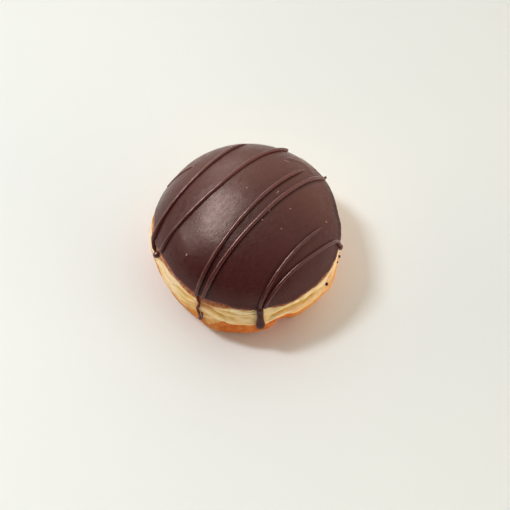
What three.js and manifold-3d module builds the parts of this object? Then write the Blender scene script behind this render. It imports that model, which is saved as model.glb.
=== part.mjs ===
// A round doughnut without a hole: fried dough with a pale belt, a dipped chocolate coat over its top and a
// piped chocolate zigzag on the coat.
// Millimetres, +Z up. The origin is at the middle of the base, on the surface it stands on.
// The front is at -Y. Angles are in degrees, counted about +Z from +X, so that the front is at -90.
import * as THREE from 'three';
import { mergeVertices } from 'three/addons/utils/BufferGeometryUtils.js';
import Module from 'manifold-3d';

// The dough's main sizes
const CORE_RADIUS = 42.9; // widest radius, without the belt's ridges
const BASE_RADIUS = 36.8; // edge of the flat base
const WIDEST_HEIGHT = 25.3;
const DOUGH_HEIGHT = 59.5;
const DOME_POWER = 2.15; // bulge of the upper half's curve, where 2 is an ellipse
const FOOT_POWER = 2.4; // the same for the lower half
const AXIS_X = 0.63; // the body's axis, placed so that the whole stands evenly about the origin
const AXIS_Y = 0.9;
const LEAN = 0.4; // how far the top leans over the base along X
const OVAL = 0.0057; // how far from round the body is, as shares of its radius
const OVAL_ANGLE = 82;
const TRIANGLE = 0.0048;
const TRIANGLE_ANGLE = -55;

// The pale belt: two soft ridges with a wavering groove between them
const GROOVE_HEIGHT = 28.3;
const GROOVE_WAVES = [
  { angle: -135, rise: 0.7, spread: 16 },
  { angle: -106, rise: -1.2, spread: 8 },
  { angle: -90, rise: 1.3, spread: 8 },
  { angle: -77, rise: -2.2, spread: 6 },
  { angle: -58, rise: 0.5, spread: 10 },
  { angle: 25, rise: 1.2, spread: 18 },
  { angle: 110, rise: -1.4, spread: 16 },
  { angle: 165, rise: 0.9, spread: 12 },
];
const UPPER_RIDGE = { above: 2.9, rise: 1.0, spread: 2.2 };
const LOWER_RIDGE = { above: -4.8, rise: 1.9, spread: 4.4 };

// Uneven places: how far each stands out, and its spread in degrees and in height
const LUMPS = [
  { angle: -128, height: 10, out: -0.5, spread: 6, tall: 8 },
  { angle: -111, height: 7, out: 1.4, spread: 8, tall: 8 },
  { angle: -75, height: 5, out: 1.7, spread: 3, tall: 8 },
  { angle: -68, height: 3, out: -7, spread: 6, tall: 5.5 },
  { angle: -68, height: 17.5, out: -1.4, spread: 3.6, tall: 3.7 },
  { angle: -53, height: 7.5, out: -0.8, spread: 6.5, tall: 7.5 },
  { angle: -33, height: 19, out: 2.1, spread: 7.5, tall: 8.5 },
  { angle: 35, height: 7, out: -1.3, spread: 13, tall: 8 },
  { angle: 80, height: 14, out: 0.7, spread: 15, tall: 9 },
  { angle: 135, height: 5, out: -1.1, spread: 10, tall: 7 },
  { angle: -177, height: 27, out: 1, spread: 9, tall: 7 },
  { angle: -160, height: 24, out: -0.4, spread: 5, tall: 6 },
  { angle: 9, height: 34, out: -0.75, spread: 6.5, tall: 9 },
  { angle: 40, height: 42, out: 1.2, spread: 12, tall: 9 },
  { angle: 151, height: 38, out: -0.6, spread: 11, tall: 9 },
  { angle: 174, height: 32, out: 0.5, spread: 4, tall: 7 },
];

// The chocolate coat
const GAP = 0.3; // clearance between the dough and the chocolate
const COAT = 1.2;
const COAT_EDGE_HEIGHT = 34;
const COAT_EDGE_WAVES = [
  { angle: -166, rise: -1.4, spread: 5 },
  { angle: -155, rise: 1.8, spread: 16 },
  { angle: -108, rise: 0.6, spread: 14 },
  { angle: -75, rise: -0.4, spread: 7 },
  { angle: -58, rise: -0.6, spread: 22 },
  { angle: -20, rise: -1.5, spread: 12 },
  { angle: 3, rise: -2, spread: 10 },
  { angle: 45, rise: -1.2, spread: 18 },
  { angle: 105, rise: 1.2, spread: 20 },
  { angle: 160, rise: -0.9, spread: 12 },
  { angle: 176, rise: 1.6, spread: 8 },
];
const LIP_SHARE = 0.035; // share of the coat, from its edge up, over which it rounds off

// The zigzag. A strand runs straight across the coat between two angles at the coat's shoulder, apart from
// its bow to one side and its sway to both. Start and reach are the shares of that way at which it begins and
// turns down to its back foot. At the front it hangs from the shoulder down to its foot, where it may have
// drifted sideways. A strand with a short reach and no back foot thins out on the coat. Raise is how far its
// middle stands off the coat's outer face, where that isn't as usual.
const SHOULDER_RADIUS = 42.6;
const STRANDS = [
  { front: 150.8, back: 51.6, bow: 0, sway: 0, width: 1, frontFoot: 34, reach: 0.22, raise: 0 },
  { front: -169.8, back: 81.8, bow: 1.3, sway: -0.2, width: 1.8, frontFoot: 31.8, drift: 7.8, reach: 0.88 },
  { front: -157.2, back: 60.1, bow: -0.45, sway: -0.8, width: 1.9, start: 0.007, reach: 0.95, backFoot: 42 },
  { front: -121.4, back: 38.1, bow: 2.2, sway: -0.2, width: 1.9, frontFoot: 34, reach: 0.89 },
  { front: -116.8, back: 31.1, bow: 0.5, sway: 0, width: 2.0, frontFoot: 35.2, backFoot: 40, reach: 0.96 },
  { front: -82, back: 0, bow: 1.1, sway: 0.35, width: 1.7, frontFoot: 34, reach: 0.8 },
  { front: -78.8, back: -13.3, bow: -0.2, sway: 0.4, width: 1.8, frontFoot: 34.5, backFoot: 31.5 },
];
const STRAND_RAISE = 0.45; // the usual raise
const FADE_DEPTH = 1.7; // how far the end of a strand that thins out sinks towards the coat
const LOW_LIFT = 0.4; // how far a strand's middle stands off the gap where it hangs below the coat's edge
const STEP_DOWN = 2; // height above and below that edge over which it comes down to this
const DRIP = { angle: -82, top: 36.5, foot: 24, width: 3.1 };
const DROPS = [
  { angle: -82, height: 23.6, width: 4.1, tall: 6.4 },
  { angle: -160.5, height: 32.8, width: 3.3, tall: 3.4 },
  { angle: -13.3, height: 31.8, width: 2.4, tall: 3.2 },
];

// How finely the surfaces are divided
const SIDES = 64;
const BASE_RINGS = [0, 0.5]; // shares of the way out to the base's edge
const FOOT_ROWS = 6;
const BELT_BOTTOM = 12;
const BELT_TOP = 34;
const BELT_ROWS = 11;
const DOME_ROWS = 9;
const COAT_ROWS = 10;
const LIP_ROWS = 3;
const STRAND_STEPS = 18;
const STRAND_SEGMENTS = 4; // per half of its round section
const TAIL_STEPS = 3;
const DROP_SIDES = 12;
const DROP_ROWS = 8;

const RAD = Math.PI / 180;
const TOP = Math.PI / 2;

const wasm = await Module();
wasm.setup();

// Shape of the body

const bell = (x) => Math.exp(-0.5 * x * x);

// The difference between two angles, from -180 to 180
const turn = (a, b) => ((((a - b + 180) % 360) + 360) % 360) - 180;

const swell = (waves, angle) =>
  waves.reduce((sum, wave) => sum + wave.rise * bell(turn(angle, wave.angle) / wave.spread), 0);

// The body's side curve. Bend runs from -TOP at the base's edge, through 0 at the widest ring, to TOP at the
// pole. Out and up are the curve's outward direction.
function profile(bend) {
  const upper = bend >= 0;
  const power = upper ? DOME_POWER : FOOT_POWER;
  const inner = upper ? 0 : BASE_RADIUS;
  const wide = CORE_RADIUS - inner;
  const tall = upper ? DOUGH_HEIGHT - WIDEST_HEIGHT : WIDEST_HEIGHT;
  const across = Math.abs(Math.cos(bend)) ** (2 / power);
  const along = Math.abs(Math.sin(bend)) ** (2 / power);
  const sign = upper ? 1 : -1;
  const outward = new THREE.Vector2(across ** (power - 1) / wide, (sign * along ** (power - 1)) / tall);
  outward.normalize();
  return {
    radius: inner + wide * across,
    height: WIDEST_HEIGHT + sign * tall * along,
    out: outward.x,
    up: outward.y,
  };
}

function bendAtHeight(height) {
  const above = height - WIDEST_HEIGHT;
  if (above >= 0) return Math.asin((above / (DOUGH_HEIGHT - WIDEST_HEIGHT)) ** (DOME_POWER / 2));
  return -Math.asin((-above / WIDEST_HEIGHT) ** (FOOT_POWER / 2));
}

// The bend on the coat's outer face at a distance from the axis
function bendAtRadius(radius) {
  const across = Math.min(1, radius / (CORE_RADIUS + GAP + COAT));
  return Math.acos(across ** (DOME_POWER / 2));
}

function belt(angle, height) {
  const groove = GROOVE_HEIGHT + swell(GROOVE_WAVES, angle);
  return [UPPER_RIDGE, LOWER_RIDGE].reduce(
    (sum, ridge) => sum + ridge.rise * bell((height - groove - ridge.above) / ridge.spread),
    0,
  );
}

function lumps(angle, height) {
  return LUMPS.reduce((sum, lump) => {
    const away = bell(turn(angle, lump.angle) / lump.spread) * bell((height - lump.height) / lump.tall);
    return sum + lump.out * away;
  }, 0);
}

function roundness(angle) {
  const oval = OVAL * Math.cos(2 * RAD * (angle - OVAL_ANGLE));
  const triangle = TRIANGLE * Math.cos(3 * RAD * (angle - TRIANGLE_ANGLE));
  return 1 + oval + triangle;
}

// The point at an angle and a bend, lifted off the dough along the side curve's outward direction
function surface(angle, bend, lift) {
  const { radius, height, out, up } = profile(bend);
  const hold = bend >= 0 ? out : 1; // relief dies away towards the pole
  const reach = radius * roundness(angle) + hold * (belt(angle, height) + lumps(angle, height)) + out * lift;
  const rise = height + up * lift;
  const lean = LEAN * (rise / DOUGH_HEIGHT - 0.5);
  return new THREE.Vector3(
    AXIS_X + lean + reach * Math.cos(angle * RAD),
    AXIS_Y + reach * Math.sin(angle * RAD),
    rise,
  );
}

// Solids

const spread = (count, first, last) =>
  Array.from({ length: count + 1 }, (_, i) => first + ((last - first) * i) / count);

function closed(geometry) {
  geometry.deleteAttribute('normal');
  geometry.deleteAttribute('uv');
  return mergeVertices(geometry);
}

// A lathe through the rows, whose every point is then placed by its row and its angle
function turned(rows, place) {
  const outline = rows.map((row) => place(row, 0)).map((point) => new THREE.Vector2(point.x, point.z));
  const geometry = new THREE.LatheGeometry(outline, SIDES);
  const position = geometry.getAttribute('position');
  for (let i = 0; i < position.count; i++) {
    const side = Math.floor(i / rows.length) % SIDES;
    const point = place(rows[i % rows.length], (360 * side) / SIDES);
    position.setXYZ(i, point.x, point.y, point.z);
  }
  return closed(geometry);
}

function solid(geometry) {
  const index = geometry.getIndex().array;
  const triVerts = [];
  for (let i = 0; i < index.length; i += 3) {
    const [a, b, c] = index.slice(i, i + 3);
    if (a !== b && b !== c && c !== a) triVerts.push(a, b, c);
  }
  const mesh = new wasm.Mesh({
    numProp: 3,
    vertProperties: new Float32Array(geometry.getAttribute('position').array),
    triVerts: new Uint32Array(triVerts),
  });
  return new wasm.Manifold(mesh);
}

function largestBody(manifold) {
  return manifold.decompose().reduce((best, body) => (body.volume() > best.volume() ? body : best));
}

function meshOf(name, manifold, material) {
  const { vertProperties, triVerts } = manifold.getMesh();
  const geometry = new THREE.BufferGeometry();
  geometry.setAttribute('position', new THREE.BufferAttribute(new Float32Array(vertProperties), 3));
  geometry.setIndex(new THREE.BufferAttribute(new Uint32Array(triVerts), 1));
  geometry.computeVertexNormals();
  const mesh = new THREE.Mesh(geometry, material);
  mesh.name = name;
  return mesh;
}

// Dough

// A row of the dough is a bend, and on the flat base a share of the way out to its edge
function doughSolid(lift) {
  const base = BASE_RINGS.map((share) => ({ bend: -TOP, share }));
  const foot = spread(FOOT_ROWS, -TOP, bendAtHeight(BELT_BOTTOM)).slice(0, -1);
  const side = spread(BELT_ROWS, BELT_BOTTOM, BELT_TOP).map(bendAtHeight);
  const dome = spread(DOME_ROWS, bendAtHeight(BELT_TOP), TOP).slice(1);
  const rows = [...base, ...[...foot, ...side, ...dome].map((bend) => ({ bend, share: 1 }))];
  const middle = new THREE.Vector3(AXIS_X, AXIS_Y, 0);
  return solid(turned(rows, ({ bend, share }, angle) => {
    const point = surface(angle, bend, lift);
    return share < 1 ? middle.clone().lerp(point, share) : point;
  }));
}

// Chocolate

// The coat is a closed loop turned about the axis: down on its inner face, round its edge and up outside
function coatSolid() {
  const inner = spread(COAT_ROWS, 1, 0).map((share) => ({ share, thick: 0 }));
  const lip = spread(LIP_ROWS, 0, LIP_SHARE).slice(1);
  const outer = spread(COAT_ROWS, LIP_SHARE, 1).slice(1);
  const round = (share) => Math.sqrt(1 - (1 - Math.min(1, share / LIP_SHARE)) ** 2);
  const rows = [...inner, ...[...lip, ...outer].map((share) => ({ share, thick: COAT * round(share) }))];
  return solid(turned(rows, ({ share, thick }, angle) => {
    const edge = bendAtHeight(COAT_EDGE_HEIGHT + swell(COAT_EDGE_WAVES, angle));
    return surface(angle, edge + (TOP - edge) * share, GAP + thick);
  }));
}

// A piped strand's middle lies over the coat's outer face and, below the coat's edge, close to the dough
function strandPoint(angle, bend, raise = STRAND_RAISE) {
  const edge = COAT_EDGE_HEIGHT + swell(COAT_EDGE_WAVES, angle);
  const onCoat = THREE.MathUtils.smoothstep(profile(bend).height, edge - STEP_DOWN, edge + STEP_DOWN);
  return surface(angle, bend, GAP + THREE.MathUtils.lerp(LOW_LIFT, COAT + raise, onCoat));
}

// Points on the way down from the shoulder or another height, without the first. The drift grows on the way.
function hangingPoints(angle, footAngle, height, footHeight, raise) {
  return spread(TAIL_STEPS, 0, 1).slice(1).map((share) => strandPoint(
    THREE.MathUtils.lerp(angle, footAngle, share ** 2),
    bendAtHeight(THREE.MathUtils.lerp(height, footHeight, share)),
    raise,
  ));
}

function tube(points, width, steps) {
  const section = new THREE.Shape().absarc(0, 0, width / 2, 0, 2 * Math.PI);
  const extrudePath = new THREE.CatmullRomCurve3(points, false, 'centripetal');
  const options = { steps, curveSegments: STRAND_SEGMENTS, extrudePath };
  return solid(closed(new THREE.ExtrudeGeometry(section, options)));
}

const CENTRE = new THREE.Vector2();

const planPoint = (angle) => new THREE.Vector2(SHOULDER_RADIUS, 0).rotateAround(CENTRE, angle * RAD);

function strandSolid(strand) {
  const { front, back, bow, sway, width, frontFoot, backFoot, raise } = strand;
  const { drift = 0, start = 0, reach = 1 } = strand;
  const from = planPoint(front);
  const to = planPoint(back);
  const across = to.clone().sub(from).normalize().rotateAround(CENTRE, TOP);
  const route = spread(STRAND_STEPS, start, reach).map((share) => {
    const aside = 4 * bow * share * (1 - share) + sway * Math.sin(2 * Math.PI * share);
    const plan = from.clone().lerp(to, share).addScaledVector(across, aside);
    return { angle: plan.angle() / RAD, bend: bendAtRadius(plan.length()) };
  });
  const run = route.map(({ angle, bend }) => strandPoint(angle, bend, raise));
  const first = profile(route.at(0).bend).height;
  const frontTail = frontFoot ? hangingPoints(front, front + drift, first, frontFoot, raise).reverse() : [];
  const { angle, bend } = route.at(-1);
  const backTail = backFoot ? hangingPoints(angle, angle, profile(bend).height, backFoot, raise) : [];
  if (reach < 1 && !backFoot) run.at(-1).z -= FADE_DEPTH;
  return tube([...frontTail, ...run, ...backTail], width, STRAND_STEPS);
}

function dripSolid({ angle, top, foot, width }) {
  const first = strandPoint(angle, bendAtHeight(top));
  return tube([first, ...hangingPoints(angle, angle, top, foot)], width, TAIL_STEPS);
}

function dropSolid({ angle, height, width, tall }) {
  const drop = new THREE.SphereGeometry(width / 2, DROP_SIDES, DROP_ROWS);
  const middle = strandPoint(angle, bendAtHeight(height));
  drop.rotateX(TOP).scale(1, 1, tall / width).translate(middle.x, middle.y, middle.z);
  return solid(closed(drop));
}

function icingSolid() {
  const drizzle = [...STRANDS.map(strandSolid), dripSolid(DRIP), ...DROPS.map(dropSolid)];
  const joined = drizzle.reduce((whole, piece) => whole.add(piece)).subtract(doughSolid(GAP));
  return largestBody(coatSolid().add(joined));
}

// The doughnut

const doughMaterial = new THREE.MeshStandardMaterial({ color: 0xe3bf7d, roughness: 0.75, metalness: 0 });
const icingMaterial = new THREE.MeshStandardMaterial({ color: 0x3b1f1a, roughness: 0.38, metalness: 0 });

const doughnut = new THREE.Group();
doughnut.add(meshOf('dough', doughSolid(0), doughMaterial));
doughnut.add(meshOf('icing', icingSolid(), icingMaterial));

export default doughnut;
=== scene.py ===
import math

import bpy
import numpy as np
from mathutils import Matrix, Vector, noise


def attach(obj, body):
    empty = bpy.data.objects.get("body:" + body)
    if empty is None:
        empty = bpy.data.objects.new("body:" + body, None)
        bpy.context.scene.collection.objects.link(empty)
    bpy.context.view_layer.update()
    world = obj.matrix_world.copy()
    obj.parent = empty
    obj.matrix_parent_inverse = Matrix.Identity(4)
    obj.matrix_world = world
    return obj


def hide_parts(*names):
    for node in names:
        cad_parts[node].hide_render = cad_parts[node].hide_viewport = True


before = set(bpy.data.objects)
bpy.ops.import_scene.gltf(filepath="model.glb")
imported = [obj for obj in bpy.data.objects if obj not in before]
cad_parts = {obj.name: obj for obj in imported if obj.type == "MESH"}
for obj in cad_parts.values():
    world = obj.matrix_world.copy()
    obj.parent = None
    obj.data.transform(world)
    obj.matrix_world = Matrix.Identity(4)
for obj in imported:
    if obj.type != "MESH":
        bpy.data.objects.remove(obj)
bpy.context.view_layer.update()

# A round doughnut without a hole: fried dough with a pale belt, a dipped chocolate coat and a piped zigzag.
# Sizes and places are in millimetres until a mesh is made. Angles are in degrees about +Z from +X, so the
# front is at -90. Colours are linear.
MM = 0.001

# The dough's main sizes
CORE_RADIUS = 42.9
BASE_RADIUS = 36.8
WIDEST_HEIGHT = 25.3
DOUGH_HEIGHT = 59.5
DOME_POWER = 2.15
FOOT_POWER = 2.4
AXIS = (0.63, 0.9)
LEAN = 0.4
OVAL = (0.0057, 82)  # share of the radius, angle
TRIANGLE = (0.0048, -55)

# The belt's ridges: above the groove, rise, spread. The groove's waves: angle, rise, spread.
GROOVE_HEIGHT = 28.3
GROOVE_WAVES = [
    (-135, 0.7, 16), (-106, -1.2, 8), (-90, 1.3, 8), (-77, -2.2, 6),
    (-58, 0.5, 10), (25, 1.2, 18), (110, -1.4, 16), (165, 0.9, 12),
]
RIDGES = [(2.9, 1.0, 2.2), (-4.8, 1.9, 4.4)]

# Uneven places: angle, height, how far they stand out, spread in degrees, spread in height
LUMPS = [
    (-128, 10, -0.5, 6, 8), (-111, 7, 1.4, 8, 8), (-75, 5, 1.7, 3, 8), (-68, 3, -7, 6, 5.5),
    (-68, 17.5, -1.4, 3.6, 3.7), (-53, 7.5, -0.8, 6.5, 7.5), (-33, 19, 2.1, 7.5, 8.5), (35, 7, -1.3, 13, 8),
    (80, 14, 0.7, 15, 9), (135, 5, -1.1, 10, 7), (-177, 27, 1, 9, 7), (-160, 24, -0.4, 5, 6),
    (9, 34, -0.75, 6.5, 9), (40, 42, 1.2, 12, 9), (151, 38, -0.6, 11, 9), (174, 32, 0.5, 4, 7),
]

# Height of the line between the pale belt and the browned crust, by angle
CRUST_LINE = [
    (-180, 24), (-170, 26), (-152, 25.8), (-146, 20), (-140, 13), (-133, 12), (-128, 16), (-121, 17.5),
    (-117, 14), (-114, 11), (-111, 14), (-108, 19), (-105, 22.6), (-103, 22.8), (-100, 21.7), (-95, 20.7),
    (-90, 20.4), (-83, 21), (-79, 21), (-76, 23), (-73, 24.3), (-70, 25.2), (-66.5, 25.6), (-64, 24),
    (-60, 21.5), (-56, 19), (-52, 18.5), (-48, 19.5), (-45, 22), (-43, 23.7), (-38, 24.7), (-34, 25.5),
    (-28, 26.6), (-20, 26.8), (-5, 26), (15, 22), (45, 17), (90, 19.5), (135, 17), (165, 22),
]
# How sharp that line is, by angle
CRUST_SHARPNESS = [
    (-180, 0.6), (-150, 0.6), (-140, 0.1), (-115, 0.1), (-112, 0), (-107, 0.15), (-104, 0.5), (-101, 1),
    (-84, 1), (-78, 0.7), (-66, 0.7), (-60, 0.6), (-45, 0.5), (0, 0.6), (20, 0.2), (90, 0.5), (150, 0.3),
]
# How strong the crust's colour is, by angle
CRUST_STRENGTH = [
    (-180, 0.9), (-132, 0.6), (-121, 0.6), (-110, 0.85), (-102, 1), (-62, 1), (-56, 0.75), (-46, 0.55),
    (-38, 0.55), (-25, 0.6), (20, 0.85),
]
# Half of the height over which the colour changes where the line is sharp and where it is soft
SHARP_LINE = 0.35
SOFT_LINE = 2.6

# Creases in the belt: angle and height of the points they pass, half width, strength
CREASES = [
    ([(-160, 27), (-154, 27.3), (-148, 26.5)], 0.6, 0.5),
    ([(-152, 31.5), (-146, 30.8), (-141, 31)], 0.5, 0.5),
    ([(-139, 30.3), (-134, 30.8), (-129, 30), (-123, 31)], 0.75, 0.85),
    ([(-136, 28.0), (-130, 27.2), (-124, 27.8)], 0.6, 0.65),
    ([(-119, 31.2), (-112, 29.6), (-107, 27.6), (-102, 25.8)], 1.05, 1),
    ([(-104, 26.6), (-100, 26.8), (-96, 26.2)], 0.9, 0.7),
    ([(-106, 31), (-101, 30.4), (-95, 30.2)], 0.6, 0.55),
    ([(-94, 27.6), (-90, 28.2), (-86, 27.6)], 0.6, 0.5),
    ([(-77, 26), (-73, 27.8), (-67, 29), (-60, 28.9), (-53, 28.2), (-45, 28.3)], 0.9, 1),
    ([(-62, 25.5), (-55, 24.6), (-48, 25.2)], 0.6, 0.5),
    ([(-38, 27), (-30, 25.5), (-25, 25)], 0.5, 0.4),
    ([(18, 29), (40, 30), (62, 28.3)], 0.8, 0.9),
    ([(92, 27), (115, 26.3), (137, 28)], 0.8, 0.9),
    ([(150, 29.4), (163, 29), (174, 28.3)], 0.6, 0.6),
]
# How many degrees outside and inside its ends a crease begins and is full
CREASE_ENDS = (2, 3)
# A crest runs below each crease. Its distance and half width are shares of the crease's half width.
# The crests are raised and have a painted highlight
CREST_AWAY = 2.3
CREST_WIDTH = 1.1

# Fine relief of the dough
BELT_STEP = 0.25  # how far the belt stands out over the plain surface where it meets the crust
CRUST_STEP = 0.35  # how far the crust lies back there
STEP_REACH = (5, -4)  # heights from the line where these steps end, on the belt and on the crust
CREASE_DEPTH = 0.95
CREST_RISE = 0.4
WRINKLE_DEPTH = 0.34
WRINKLE_SIZE = (9, 9, 2.0)  # a wrinkle's length and its distance from the next
WRINKLE_WIDTH = 0.2  # share of the noise that is wrinkle
WRINKLE_PATCHES = (12, -0.4, 0.2)  # size of the patches with wrinkles, noise where they begin and are full
FINE_DEPTH = 0.14
FINE_SIZE = (5, 5, 1.1)
BLISTER_RISE = 0.2
BLISTERS = (3.2, 1.3913, 0.5)  # large size, small size, share of the small ones
BELT_BLISTERS = 0.5  # how much lower they are on the belt
BARE_SPAN = (1, -1.5)  # heights from the coat's edge between which the relief begins below it
STANDING_HEIGHT = 4  # height above the base over which the blisters begin
# Noise that bends lines on the dough, and how far it bends each kind of line
DOUGH_WAVER = (7, 2.6, 0.5)  # large size, small size, share of the small lumps
LINE_WAVER = 0.5
CREASE_WAVER = 0.45
WRINKLE_WAVER = 1.2
FINE_WAVER = 0.8
SEEP_WAVER = 0.5

# Painted highlight: a pale rim of the belt along the crust: height above the line, spread
RIM = (0.9, 0.7)
# Painted highlight: the fine relief is pale where it stands out: strength, noise where that begins and is
# full
FINE_CREST = (0.7, 0.1, 0.5)
# How far chocolate has coloured the dough below the coat's edge, by angle
SEEP_REACH = [
    (-195, 4.0), (-178, 3.8), (-171, 3.6), (-163, 3.0), (-157, 3.9), (-150, 3.1), (-144, 2.8), (-138, 2.1),
    (-132, 2.3), (-127, 2.5), (-122, 2.8), (-117, 2.8), (-110, 2.9), (-104, 2.5), (-100, 1.5), (-97, 1.0),
    (-91, 0.9), (-84, 0.4), (-70, 1.1), (-35, 1.4), (-10, 1.4), (40, 1.4), (100, 1.2), (140, 2.4),
]
SEEP_FULL = 0.7  # share of that reach where the colour is full
# Reddish and browner places on the dough: angle, height, spread in degrees, spread in height, strength
STAINS = [
    (-118.4, 17.5, 1.3, 5, 0.6), (-118.6, 31, 1.9, 3, 0.5), (-113, 30.4, 3, 1.2, 0.75),
    (-61, 26.6, 4, 1.9, 0.4), (-52, 25.5, 7, 1.6, 0.18), (-40, 26.8, 6, 1.8, 0.22), (-30, 29, 5, 2.2, 0.35),
]
# The belt's tint from cream, at -1, to gold, at 1, by angle, and what is added to it low on the belt
BELT_TINT = [
    (-180, -1), (-140, -0.7), (-128, 0), (-116, 0.2), (-105, 0.1), (-97, -0.1), (-88, -0.2), (-80, 0),
    (-72, -0.3), (-50, -0.3), (-40, -0.4), (-20, -0.2), (-8, -0.3), (5, 0.2), (45, 0.3), (100, 0.1),
    (140, -0.3),
]
LOW_TINT = [
    (-180, 0), (-150, 0), (-135, 0.2), (-125, 0.8), (-119, 0.7), (-113, 0.35), (-108, 0.4), (-100, 0.4),
    (-92, 0), (-84, 0), (-76, 0.5), (-65, 0.8), (-45, 0.4), (-30, 0.5), (-15, 0.3), (10, 0.3), (60, 0.2),
    (150, 0),
]
LOW_SPAN = (0.15, 0.45)  # shares of the belt's depth where low begins and is full
BELT_DEPTH = 14  # how far below the coat's edge the belt's colour still changes

# The chocolate coat
GAP = 0.3
COAT = 1.2
COAT_SINK = 0.15  # how far its inner face lies in the dough, so that no slit shows at its edge
COAT_EDGE_HEIGHT = 34
COAT_EDGE_WAVES = [
    (-166, -1.4, 5), (-152, 2.4, 17), (-108, 0.6, 14), (-75, -0.4, 7), (-58, -0.6, 22),
    (-20, -1.5, 12), (3, -2, 10), (45, -1.2, 18), (105, 1.2, 20),
    (160, -0.9, 12), (176, 1.6, 8),
]
EDGE_WAVER = 0.5
EDGE_LUMPS = (5, 1.8, 0.6)  # noise of that waver: large size, small size, share of the small lumps
LIP_SHARE = 0.035
# Near its edge the coat is thin and redder: how much, by angle, and over which share of the coat
THIN_EDGE = [
    (-195, 1), (-125, 1), (-105, 0.6), (-95, 0.3), (-80, 0.2), (-30, 0.3), (0, 0.2), (90, 0.3), (140, 0.8),
]
THIN_SHARE = (0.055, 0.012)
DIMPLE_DEPTH = 0.07
DIMPLES = (9, 3.3333, 0.4)  # large size, small size, share of the small ones
# Small swellings of the coat: angle, radius, rise, spread
COAT_BUMPS = [(-139.1, 35.3, 0.12, 0.9), (-149.7, 31.5, 0.15, 1.4), (-58.7, 19.2, 0.12, 1.5)]
# A wrinkle in the coat: angle and radius of the points it passes
COAT_WRINKLE = [(52, 31.8), (45.7, 35.2), (39.7, 35.7), (34, 35.0)]
COAT_WRINKLE_RISE = 0.32
COAT_WRINKLE_SPREAD = 0.7
COAT_WRINKLE_STEP = 0.5

# Tones of the coat, with its painted light and shade
# Painted light and shade: dark in front turning to light behind, in this direction and between these places
# along it
SIDE_SHADE_AZIMUTH = 80
SIDE_SHADE_SPAN = (-14, 20)
# Painted shade: it is darker in low places: angle, spread, height where that begins, height where it is full
SHADED_LOW_PLACES = [(-142, 42, 54, 42), (172, 26, 47, 37), (8, 17, 45, 36)]
# Reddish flecks in it: angle and radius of their middle, spread
FLECKS = (-43, 19, 6.5)
# Painted reflection: a pale sheen on its rim: angle, spread, height, spread in height
RIM_REFLECTION = (50, 9, 43.5, 2.2)
# Its rim is dull in one low place, given in the same way
DULL = (10, 24, 52, 44)
# Painted shade: it is dark in the crevices at the right of these strands, at this distance and with this
# spread
SHADED_STRANDS = (3, 4)
SHADE_AWAY = 1.1
SHADE_SPREAD = 0.5
SHADE_FADE = 0.8  # share of the strand's length where that shade begins to fade

# The zigzag. A strand runs straight across the coat between two angles at the coat's shoulder, apart from
# its bow to one side and its sway to both. Start and reach are the shares of that way where it begins and
# ends or turns down to its back foot. At the front it hangs down to its front foot and may drift sideways.
# Its ends may fade over a length. A swelling has its distance from the front end, its share of the width and
# its spread.
SHOULDER_RADIUS = 42.6
STRANDS = [
    dict(front=150.8, back=51.6, bow=0, sway=0, width=1, front_foot=34, reach=0.22, fade=4, raised=0),
    dict(front=-169.8, back=81.8, bow=1.3, sway=-0.2, width=1.8, front_foot=31.8, drift=7.8, reach=0.88,
         fade=9, front_fade=3, swelling=(9, 0.35, 4)),
    dict(front=-157.2, back=60.1, bow=-0.45, sway=-0.8, width=1.9, start=0.007, reach=0.95, back_foot=42),
    dict(front=-121.4, back=38.1, bow=2.2, sway=-0.2, width=1.9, front_foot=35.2, reach=0.89, fade=8),
    dict(front=-116.8, back=31.1, bow=0.5, sway=0, width=2.0, front_foot=35.2, back_foot=40, reach=0.96),
    dict(front=-82, back=0, bow=1.1, sway=0.35, width=1.7, front_foot=34, reach=0.8, fade=8),
    dict(front=-78.8, back=-13.3, bow=-0.2, sway=0.4, width=1.8, front_foot=34.5, back_foot=31.5),
]
STRAND_RAISE = 0.45  # how far a strand's middle usually stands off the coat's outer face
STRAND_UNEVEN = [(0.1, 8, 20), (0.05, 2.5, 30)]  # noise of its width: share, size, first seed
FADE_SINK = 0.5  # how far the end of a strand that thins out sinks towards the coat
FADE_POWER = 0.7
LOW_LIFT = 0.4  # how far a strand's middle stands off the gap below the coat's edge
STEP_DOWN = 2  # height above and below that edge over which it comes down to this

# The thick drip: angle, height of its top, width. Its round end: height, width, how tall, spread.
DRIP = (-82, 36.5, 3.2)
BULB = (22.9, 4.2, 6.4, 2.1)
PINCH = (29.6, 0.12, 1.3)  # height of the drip's neck, share of its width, spread
DRIP_FADE = 2
# Drops: angle, height, width, how tall
DROPS = [(-160.5, 32.8, 3.3, 3.0), (-13.3, 31.8, 2.4, 3.2)]
# Where a strand's end sticks out from the coat: angle, height, reach, width
NUB = (30.5, 40.25, 2.1, 1.3)
NUB_SINK = 0.3

# Thin trickles down the belt: angle and height of the points they pass
TRICKLES = [
    [(-122.2, 37), (-121, 33.9), (-120, 32.5), (-118.5, 31.9), (-119, 29.4), (-120, 26.9), (-119.5, 25.2),
     (-118.5, 23.6), (-120, 16.4), (-120.5, 11)],
    [(-116.7, 25.6), (-116.3, 23.4), (-117.3, 18.1), (-119, 12)],
]
TRICKLE_WIDTHS = (1.2, 0.7)
TRICKLE_UNEVEN = (0.35, 2.2, 40)  # noise of the width: share, size, first seed
TRICKLE_LIFT = 0.35

# Specks of chocolate on the belt: angle, height, size
SPECKS = [(-36.5, 27.7, 1.7), (-14.7, 25.0, 1.4), (-20, 26.7, 1.0)]
SPECK_LIFT = 0.3

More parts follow.
